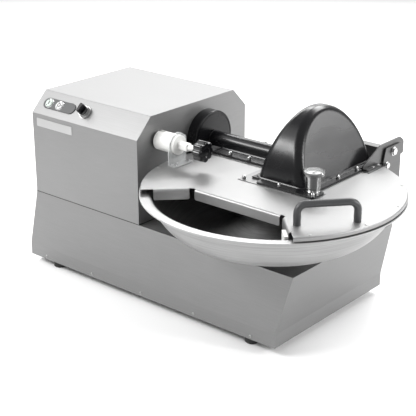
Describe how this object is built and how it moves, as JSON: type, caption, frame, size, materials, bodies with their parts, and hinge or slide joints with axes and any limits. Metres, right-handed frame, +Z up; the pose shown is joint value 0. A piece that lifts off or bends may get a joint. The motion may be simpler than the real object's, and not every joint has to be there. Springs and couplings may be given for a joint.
{
  "type": "meat bowl cutter",
  "caption": "Bench-top bowl cutter: sickle knives on a horizontal shaft turn in an annular steel bowl under a hinged lid with a moulded knife cover, a drive cabinet beside it.",
  "frame": {"origin": "on the floor under the feet, below the middle of the machine's outline", "axes": "+X from the drive cabinet towards the bowl, +Y from the operator towards the lid's hinge, +Z up"},
  "size_m": [1.0138, 0.686, 0.507],
  "materials": {
    "stainless": "brushed",
    "bright_steel": "polished",
    "knife_steel": "ground",
    "machined_steel": "machined",
    "cast_housing": "cast",
    "motor_paint": "satin",
    "black_moulding": "gloss",
    "dark_plastic": "satin",
    "white_plastic": "satin",
    "start_key": "satin",
    "stop_key": "satin",
    "clear_plastic": "clear",
    "rubber": "matt",
    "needle": "satin",
    "label_metal": "satin"
  },
  "bodies": {
    "frame": {"base_shell": "stainless", "base_floor": "stainless", "feet": "rubber", "band_screws": "bright_steel", "cabinet_shell": "stainless", "badge_plate": "label_metal", "control_panel": "dark_plastic", "selector_base": "bright_steel", "switch_block": "dark_plastic", "control_box": "dark_plastic", "cable_gland": "dark_plastic", "shaft_flange": "black_moulding", "shaft_seal": "rubber", "bearing_housing": "cast_housing", "knife_bearings": "machined_steel", "drive_belt": "rubber", "knife_motor": "motor_paint", "motor_mount": "stainless", "bowl_bearing_housing": "cast_housing", "bowl_bearings": "machined_steel", "bowl_gearmotor": "motor_paint", "hinge_post": "stainless", "hinge_pins": "bright_steel"},
    "knives": {"knife_shaft": "machined_steel", "knife_head": "knife_steel", "knife_spacers": "knife_steel", "knife_nut": "knife_steel", "knife_left": "knife_steel", "knife_middle": "knife_steel", "knife_right": "knife_steel", "knife_pulley": "cast_housing"},
    "motor_rotor": {"motor_shaft": "machined_steel", "motor_pulley": "cast_housing"},
    "bowl_drive": {"bowl": "stainless", "bowl_spindle": "machined_steel", "bowl_nut": "machined_steel", "bowl_gear": "machined_steel"},
    "pinion": {"bowl_pinion": "machined_steel"},
    "lid": {"lid": "stainless", "lid_rivets": "bright_steel", "cover_plate": "stainless", "dome_cover": "black_moulding", "cover_nuts": "bright_steel", "thermometer_case": "bright_steel", "thermometer_glass": "clear_plastic", "lid_handle": "dark_plastic", "bowl_scraper": "white_plastic", "arm_left": "stainless", "arm_right": "stainless", "arm_rivets": "bright_steel", "catch_bracket": "clear_plastic", "catch_body": "white_plastic", "catch_screws": "bright_steel"},
    "needle": {"thermometer_needle": "needle"},
    "star_knob": {"star_knob": "black_moulding"},
    "start_button": {"start_button": "start_key"},
    "stop_button": {"stop_button": "stop_key"},
    "selector": {"selector_knob": "black_moulding"}
  },
  "joints": [
    {"name": "knife_spin", "type": "hinge", "parent": "frame", "child": "knives", "pos_m": [0.19285, 0.107, 0.365], "axis": [1, 0, 0], "continuous": true},
    {"name": "motor_spin", "type": "hinge", "parent": "frame", "child": "motor_rotor", "pos_m": [-0.42915, 0.107, 0.142], "axis": [1, 0, 0], "continuous": true},
    {"name": "bowl_spin", "type": "hinge", "parent": "frame", "child": "bowl_drive", "pos_m": [0.20685, -0.043, 0.3], "axis": [0, 0, 1], "continuous": true},
    {"name": "pinion_spin", "type": "hinge", "parent": "frame", "child": "pinion", "pos_m": [0.11685, -0.043, 0.108], "axis": [0, 0, 1], "continuous": true},
    {"name": "lid_hinge", "type": "hinge", "parent": "frame", "child": "lid", "pos_m": [0.21585, 0.289, 0.372], "axis": [-1, 0, 0], "range_deg": [0, 100]},
    {"name": "needle_turn", "type": "hinge", "parent": "lid", "child": "needle", "pos_m": [0.30985, -0.035, 0.4025], "axis": [0, 0, 1], "range_deg": [-135, 135]},
    {"name": "knob_turn", "type": "hinge", "parent": "lid", "child": "star_knob", "pos_m": [0.00485, -0.066, 0.398], "axis": [1, 0, 0], "range_deg": [0, 360]},
    {"name": "start_press", "type": "slide", "parent": "frame", "child": "start_button", "axis": [0, 0.7071, -0.7071], "range_m": [0, 0.0025], "stiffness_N_per_m": 300, "springref_m": -0.001},
    {"name": "stop_press", "type": "slide", "parent": "frame", "child": "stop_button", "axis": [0, 0.7071, -0.7071], "range_m": [0, 0.0025], "stiffness_N_per_m": 300, "springref_m": -0.001},
    {"name": "selector_turn", "type": "hinge", "parent": "frame", "child": "selector", "pos_m": [-0.31875, -0.1135, 0.4355], "axis": [0, -0.7071, 0.7071], "range_deg": [-45, 45]}
  ],
  "couplings": [
    {"joint": "motor_spin", "follows": "knife_spin", "ratio": 1.1111},
    {"joint": "pinion_spin", "follows": "bowl_spin", "ratio": -4}
  ]
}
